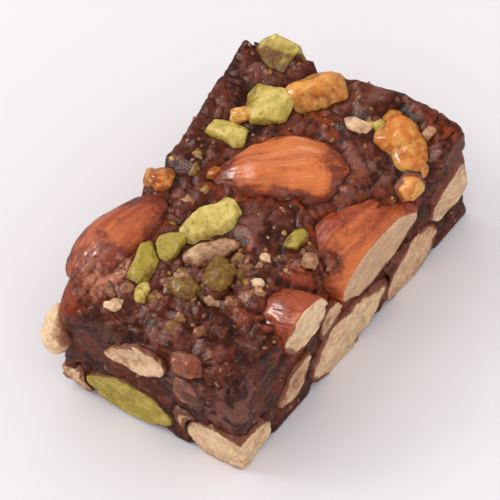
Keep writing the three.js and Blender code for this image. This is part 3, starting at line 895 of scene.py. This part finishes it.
class Finish:
    """A material, with short names for the nodes that it is made of."""

    def __init__(self, name):
        self.material = bpy.data.materials.new(name)
        self.material.use_nodes = True
        self.tree = self.material.node_tree
        self.shader = self.tree.nodes["Principled BSDF"]
        place = self.node("ShaderNodeTexCoord").outputs["Object"]
        sockets = {0: place, "Scale": 1 / MM}
        self.place = self.node("ShaderNodeVectorMath", sockets, operation="SCALE").outputs[0]

    def node(self, kind, sockets=(), **settings):
        """A new node with settings, and with values or links for its sockets."""
        node = self.tree.nodes.new(kind)
        for name, value in settings.items():
            setattr(node, name, value)
        for socket, value in dict(sockets).items():
            self.put(value, node.inputs[socket])
        return node

    def put(self, value, socket):
        """Links an output to a socket, or sets the socket's value."""
        if isinstance(value, bpy.types.NodeSocket):
            self.tree.links.new(value, socket)
        else:
            socket.default_value = value

    def surface(self, **inputs):
        for name, value in inputs.items():
            self.put(value, self.shader.inputs[name.replace("_", " ")])

    def attribute(self, name, output="Fac"):
        return self.node("ShaderNodeAttribute", attribute_name=name).outputs[output]

    def noise(self, size, detail=3.0, roughness=0.55, streaks=None):
        """Noise of about 0 to 1 with features of a size, or with streaks along a nut."""
        at = self.place
        if streaks:
            sockets = {0: self.attribute("streak", "Vector"), 1: streaks}
            at = self.node("ShaderNodeVectorMath", sockets, operation="MULTIPLY").outputs[0]
        sockets = {"Vector": at, "Scale": 1 / size, "Detail": detail, "Roughness": roughness}
        return self.node("ShaderNodeTexNoise", sockets).outputs["Fac"]

    def spread(self, value, low, high, to_low=0.0, to_high=1.0):
        """The value's range from low to high stretched to another range."""
        sockets = enumerate((value, low, high, to_low, to_high))
        node = self.node("ShaderNodeMapRange", sockets, interpolation_type="SMOOTHSTEP")
        return node.outputs["Result"]

    def varied(self, value, noise, amount, low=0.3, high=0.7):
        """The value, changed by up to an amount as the noise goes from low to high."""
        return self.math("ADD", value, self.spread(noise, low, high, -amount, amount))

    def tinted(self, colour, tint, share, value, low, high):
        """The colour, tinted by up to a share as the value goes from low to high."""
        return self.blend(self.spread(value, low, high, 0.0, share), colour, tint)

    def math(self, operation, a, b):
        return self.node("ShaderNodeMath", {0: a, 1: b}, operation=operation).outputs[0]

    def blend(self, share, a, b, how="MIX"):
        """Colour a turning to colour b as the share goes from 0 to 1."""
        settings = {"data_type": "RGBA", "blend_type": how, "clamp_factor": True}
        return self.node("ShaderNodeMix", {0: share, 6: a, 7: b}, **settings).outputs[2]

    def between(self, share, a, b):
        """A number that goes from a to b as the share goes from 0 to 1."""
        settings = {"data_type": "FLOAT", "clamp_factor": True}
        return self.node("ShaderNodeMix", {0: share, 2: a, 3: b}, **settings).outputs[0]

    def bump(self, *layers):
        """Relief from (height, depth in millimetres, strength) layers."""
        normal = None
        for height, depth, strength in layers:
            sockets = {"Height": height, "Strength": strength, "Distance": depth * MM}
            if normal:
                sockets["Normal"] = normal
            normal = self.node("ShaderNodeBump", sockets).outputs["Normal"]
        self.surface(Normal=normal)
        return normal

    def soft(self, weight, depths):
        """Light that comes out nearby, for red, green and blue in millimetres."""
        self.surface(Subsurface_Weight=weight, Subsurface_Radius=depths, Subsurface_Scale=MM)

    def glaze(self, weight, roughness):
        self.surface(Coat_Weight=weight, Coat_Roughness=roughness)


PASTE_DARK = linear(56, 18, 8)
PASTE_BROWN = linear(102, 42, 20)
# mauve of the figs' flesh, which also stands in for painted sheen
PASTE_MAUVE = linear(128, 78, 66)
PASTE_ROSY = linear(216, 138, 108)
PASTE_SYRUP = linear(156, 62, 20)
PASTE_FLECK = linear(150, 82, 52)
# painted highlight on the paste's ridges and folds
PASTE_PAINTED_HIGHLIGHT = linear(160, 104, 84)
# painted shade, for the paste's hollows and where it meets the nuts
PASTE_PAINTED_SHADE = linear(36, 10, 3)
FILM_TINT = linear(178, 139, 116)
FILM_ROUGHNESS = 0.42


def paste_colour(look, flesh_and_sheen=0.4):
    colour = look.tinted(PASTE_DARK, PASTE_BROWN, 1.0, look.noise(5.0, 2.0), 0.38, 0.62)
    # mauve patches, partly fig flesh and partly painted sheen
    patches = look.varied(flesh_and_sheen, look.noise(2.6, 4.0), 0.6)
    colour = look.tinted(colour, PASTE_MAUVE, 0.9, patches, 0.25, 0.85)
    return look.tinted(colour, PASTE_FLECK, 0.5, look.noise(1.5, 4.0, 0.6), 0.54, 0.7)


def paste_finish():
    look = Finish("fig_paste")
    colour = paste_colour(look, look.attribute("flesh_and_sheen"))
    syrup = look.varied(look.attribute("syrup"), look.noise(1.9), 0.4)
    colour = look.tinted(colour, PASTE_SYRUP, 0.85, syrup, 0.1, 0.9)
    rosy = look.varied(look.attribute("rosy"), look.noise(1.2, 4.0, 0.65), 0.3)
    colour = look.tinted(colour, PASTE_ROSY, 0.8, rosy, 0.1, 0.9)
    # painted shade where the paste meets the nuts
    colour = look.tinted(colour, PASTE_PAINTED_SHADE, 0.5, look.attribute("near_nut"), 0.55, 1.0)
    above = look.attribute("above")
    # painted highlight on what stands above the ironed paste
    colour = look.tinted(colour, PASTE_PAINTED_HIGHLIGHT, 0.5, above, 0.06, 0.26)
    # painted shade in the paste's hollows, below the ironed surface
    colour = look.tinted(colour, PASTE_PAINTED_SHADE, 0.85, above, 0.04, -0.14)
    gloss = look.spread(look.noise(2.4), 0.35, 0.7, 0.18, 0.45)
    look.surface(Base_Color=colour, Roughness=gloss, Specular_IOR_Level=0.3)
    look.soft(0.12, (1.0, 0.35, 0.2))
    look.glaze(0.3, 0.1)
    relief = look.bump(
        (look.noise(1.3, 4.0, 0.6), 0.5, 0.5),
        (look.noise(0.42, 4.0, 0.65), 0.2, 0.45),
    )
    look.surface(Coat_Normal=relief)
    return look.material


def with_film(look, colour, roughness):
    """A thin coat of syrup and paste, where the film attribute says."""
    film = look.attribute("film")
    mottled = look.varied(film, look.noise(0.7, 4.0), 0.2)
    colour = look.blend(look.spread(mottled, 0.0, 0.75), colour, FILM_TINT, "MULTIPLY")
    rosy = look.spread(look.attribute("rosy"), 0.1, 0.9, 0.2, 0.8)
    paste = look.blend(rosy, paste_colour(look), PASTE_ROSY)
    colour = look.tinted(colour, paste, 0.9, mottled, 0.6, 1.05)
    gloss = look.between(film, roughness, FILM_ROUGHNESS)
    look.surface(Base_Color=colour, Roughness=gloss)


SKIN_PALE = linear(230, 128, 60)
# painted sheen on the almond skins: pale patches that stand for highlights on the syrup
SKIN_PAINTED_SHEEN = linear(244, 186, 152)
SKIN_DEEP = linear(176, 78, 40)
SKIN_LINE = linear(142, 54, 22)
FLESH_PALE = linear(246, 212, 166)
FLESH_DEEP = linear(214, 172, 132)
FLESH_PORE = linear(160, 108, 64)


def almond_finish(name, glaze):
    look = Finish(name)
    tone = look.attribute("tone")
    lines = look.noise(0.28, 3.0, 0.6, (1.5, 1.5, 0.28))
    fine = look.noise(0.1, 3.0, 0.6, (1.5, 1.5, 0.16))
    blotches = look.noise(1.0, 3.0, 0.55, (1.5, 1.5, 0.8))
    depth = look.varied(look.varied(tone, lines, 0.22), blotches, 0.35, 0.35, 0.65)
    skin = look.blend(depth, SKIN_PALE, SKIN_DEEP)
    skin = look.tinted(skin, SKIN_LINE, 0.45, fine, 0.52, 0.78)
    # pale patches of painted sheen, fewer on deeper skins
    sheen_patches = look.noise(0.7, 4.0, 0.65, (3.2, 3.2, 0.8))
    sheen_patches = look.math("SUBTRACT", sheen_patches, look.math("MULTIPLY", tone, 0.2))
    skin = look.tinted(skin, SKIN_PAINTED_SHEEN, 0.7, sheen_patches, 0.46, 0.66)
    depth = look.varied(tone, look.noise(2.4, 2.0), 0.25, 0.35, 0.7)
    flesh = look.blend(depth, FLESH_PALE, FLESH_DEEP)
    flesh = look.tinted(flesh, FLESH_PORE, 0.22, look.noise(0.5, 4.0, 0.7), 0.6, 0.78)
    peel = look.spread(look.attribute("peel"), 0.35, 0.75)
    with_film(look, look.blend(peel, skin, flesh), look.spread(lines, 0.3, 0.7, 0.3, 0.46))
    look.soft(0.15, (1.6, 0.8, 0.4))
    look.glaze(glaze, 0.12)
    look.bump(
        (lines, 0.25, look.math("SUBTRACT", 0.6, look.math("MULTIPLY", peel, 0.5))),
        (look.noise(0.45, 4.0, 0.6), 0.16, 0.4),
        (look.noise(2.4, 2.0), 0.5, 0.4),
    )
    return look.material


GREEN_PALE = linear(236, 210, 116)
GREEN_DEEP = linear(178, 156, 50)
GREEN_VEIN = linear(132, 108, 34)
GREEN_HUSK = linear(150, 104, 72)


def pistachio_finish():
    look = Finish("pistachio")
    depth = look.varied(look.attribute("tone"), look.noise(1.8), 0.35)
    colour = look.blend(depth, GREEN_PALE, GREEN_DEEP)
    colour = look.tinted(colour, GREEN_VEIN, 0.65, look.noise(0.9, 4.0, 0.7), 0.56, 0.72)
    colour = look.tinted(colour, GREEN_HUSK, 0.5, look.noise(2.9, 2.0), 0.68, 0.76)
    with_film(look, colour, look.spread(look.noise(1.1), 0.3, 0.7, 0.34, 0.52))
    look.soft(0.2, (1.4, 1.1, 0.4))
    look.glaze(0.25, 0.18)
    look.bump((look.noise(0.6, 4.0, 0.65), 0.3, 0.55), (look.noise(0.22, 3.0), 0.1, 0.4))
    return look.material


AMBER_PALE = linear(246, 192, 98)
AMBER_DEEP = linear(222, 130, 46)
AMBER_DARK = linear(152, 74, 22)


def amber_finish():
    look = Finish("amber_nut")
    depth = look.varied(look.attribute("tone"), look.noise(2.0), 0.4)
    colour = look.blend(depth, AMBER_PALE, AMBER_DEEP)
    colour = look.tinted(colour, AMBER_DARK, 0.6, look.noise(1.2, 4.0, 0.6), 0.58, 0.74)
    with_film(look, colour, look.spread(look.noise(1.3), 0.3, 0.7, 0.22, 0.42))
    look.soft(0.45, (2.0, 1.1, 0.4))
    look.glaze(0.8, 0.07)
    look.bump((look.noise(0.9, 3.0, 0.6), 0.3, 0.45), (look.noise(0.3, 3.0), 0.1, 0.3))
    return look.material


SEED_PALE = linear(186, 128, 88)
SEED_DEEP = linear(118, 62, 36)


def seed_finish():
    look = Finish("fig_seed")
    colour = look.blend(look.attribute("tone"), SEED_PALE, SEED_DEEP)
    colour = look.tinted(colour, PASTE_BROWN, 0.7, look.noise(0.4), 0.4, 0.65)
    look.surface(Base_Color=colour, Roughness=0.32)
    look.glaze(0.4, 0.1)
    look.bump((look.noise(0.25, 2.0), 0.06, 0.4))
    return look.material


FLOOR_PALE = linear(241, 238, 240)
FLOOR_GREY = linear(239, 235, 238)
FLOOR_MIRRORED = linear(150, 146, 148)  # the floor in reflections


def floor_finish():
    look = Finish("floor")
    colour = look.blend(look.noise(90.0, 2.0), FLOOR_GREY, FLOOR_PALE)
    mirrored = look.node("ShaderNodeLightPath").outputs["Is Glossy Ray"]
    colour = look.blend(mirrored, colour, FLOOR_MIRRORED)
    look.surface(Base_Color=colour, Roughness=0.6)
    return look.material


def make_piece(name, points, faces, material, slot, **attributes):
    """A smooth mesh that rides on the block, with values for its material."""
    mesh = bpy.data.meshes.new(name)
    mesh.from_pydata(to_frame(points).tolist(), [], faces.tolist())
    mesh.shade_smooth()
    for key, values in attributes.items():
        vector = values.ndim == 2
        data = mesh.attributes.new(key, "FLOAT_VECTOR" if vector else "FLOAT", "POINT").data
        data.foreach_set("vector" if vector else "value", values.astype(np.float32).ravel())
    mesh.materials.append(material)
    piece = added(name, mesh)
    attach(piece, "root")
    return piece


def build_barfi():
    names = sorted(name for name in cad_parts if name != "fig_paste")
    nuts = [Nut(name, index) for index, name in enumerate(names)]
    nut_tree = tree_of([(nut.points, nut.faces) for nut in nuts])
    skin_tree = tree_of([(nut.points, nut.faces) for nut in nuts if nut.node in SKINNED])

    paste, faces, values = paste_surface(nut_tree)
    near_skin = 1 - distances(paste, skin_tree, SYRUP_REACH) / SYRUP_REACH
    values["syrup"] = np.maximum(values["syrup"], SKIN_SYRUP * near_skin)
    finishes = {
        "fig_paste": paste_finish(),
        "almond_skin": almond_finish("almond_skin", 0.5),
        "almond_cut": almond_finish("almond_cut", 0.15),
        "pistachio": pistachio_finish(),
        "amber_nut": amber_finish(),
    }
    piece = make_piece("paste", paste, faces, finishes["fig_paste"], "fig_paste", **values)
    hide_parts("fig_paste")

    paste_tree = tree_of([(paste, faces)])
    for nut in nuts:
        slot = "almond_skin" if nut.node in SKINNED else SLOTS[nut.kind]
        away = distances(nut.points, paste_tree, PAINTED_SHADE_REACH[1])
        values = {
            "tone": tones_of(nut, away),
            "film": film_over(nut, away),
            "rosy": amount_at(nut.points, ROSY_PLACES),
            "peel": nut.peel,
            "streak": nut.streak,
        }
        name = f"{nut.node}_nut"
        piece = make_piece(name, nut.points, nut.faces, finishes[slot], slot, **values)
        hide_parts(nut.node)

    for kind, heap in scatter_bits(paste_tree, nut_tree).items():
        points, bit_faces, tones, films = heap.mesh()
        away = distances(points, paste_tree, BIT_FILMED)
        zeros = np.zeros(len(points))
        values = {
            "tone": tones,
            "film": np.maximum(films, BIT_FILM * (1 - smoothstep(0.0, BIT_FILMED, away))),
            "peel": zeros + 1,
            "streak": unit(points - points.mean(axis=0)),
            "flesh_and_sheen": zeros + BIT_FLESH_AND_SHEEN,
            **{name: zeros for name in ("near_nut", "syrup", "rosy", "above")},
        }
        slot = SLOTS[kind]
        make_piece(f"{kind}_bits", points, bit_faces, finishes[slot], slot, **values)
    points, seed_faces, tones, _ = scatter_seeds(paste, faces, nut_tree).mesh()
    make_piece("fig_seeds", points, seed_faces, seed_finish(), "fig_paste", tone=tones)


FLOOR_SIZE = 4.0
DAYLIGHT = (1.0, 0.99, 0.98)
GLINTS = (1.0, 0.9, 0.84)
LAMP_AIM = (0, 0, 0.01)
LIGHTS = [  # place, size, power and colour, and the one for glints makes those alone
    ((-0.2, 0.58, 0.78), 0.6, 1.4, DAYLIGHT),
    ((-0.34, 0.62, 0.62), 0.2, 0.9, DAYLIGHT),
    ((-0.34, 0.62, 0.62), 0.22, 4.0, GLINTS),
]
SKY_COLOUR = (1.0, 0.98, 0.99, 1.0)
SKY_STRENGTH = 0.96
SKY_GLOSS = 0.22  # the share of its light that shows in reflections


def set_stage():
    mesh = bpy.data.meshes.new("floor")
    half = FLOOR_SIZE / 2
    corners = [(-half, -half, 0), (half, -half, 0), (half, half, 0), (-half, half, 0)]
    mesh.from_pydata(corners, [], [(0, 1, 2, 3)])
    mesh.materials.append(floor_finish())
    floor = added("floor", mesh)

    for place, size, power, colour in LIGHTS:
        light = bpy.data.lights.new("lamp", "AREA")
        light.size = size
        light.energy = power
        light.color = colour
        lamp = added("lamp", light)
        lamp.location = place
        lamp.visible_diffuse = colour is not GLINTS
        lamp.rotation_mode = "QUATERNION"
        lamp.rotation_quaternion = (Vector(LAMP_AIM) - Vector(place)).to_track_quat("-Z", "Y")

    world = bpy.data.worlds.new("sky")
    world.use_nodes = True
    tree = world.node_tree
    sky = tree.nodes["Background"]
    sky.inputs["Color"].default_value = SKY_COLOUR
    path = tree.nodes.new("ShaderNodeLightPath")
    strength = tree.nodes.new("ShaderNodeMapRange")
    strength.inputs["To Min"].default_value = SKY_STRENGTH
    strength.inputs["To Max"].default_value = SKY_STRENGTH * SKY_GLOSS
    tree.links.new(path.outputs["Is Glossy Ray"], strength.inputs["Value"])
    tree.links.new(strength.outputs["Result"], sky.inputs["Strength"])
    bpy.context.scene.world = world
    bpy.context.scene.view_settings.view_transform = "Standard"


def set_camera():
    a, e, roll = (math.radians(v) for v in (AZIMUTH, ELEVATION, ROLL))
    back = Vector((math.sin(a) * math.cos(e), -math.cos(a) * math.cos(e), math.sin(e)))
    level = Vector((0, 0, 1)).cross(back).normalized()
    above = back.cross(level)
    right = level * math.cos(roll) + above * math.sin(roll)
    turn = Matrix((right, back.cross(right), back)).transposed()
    data = bpy.data.cameras.new("camera")
    data.lens = LENS
    data.clip_start, data.clip_end = CLIP
    camera = added("camera", data)
    place = Matrix.Translation((Vector(AIM + ORIGIN) + back * DISTANCE) * MM)
    camera.matrix_world = place @ turn.to_4x4()
    bpy.context.scene.camera = camera


build_barfi()
set_stage()
set_camera()
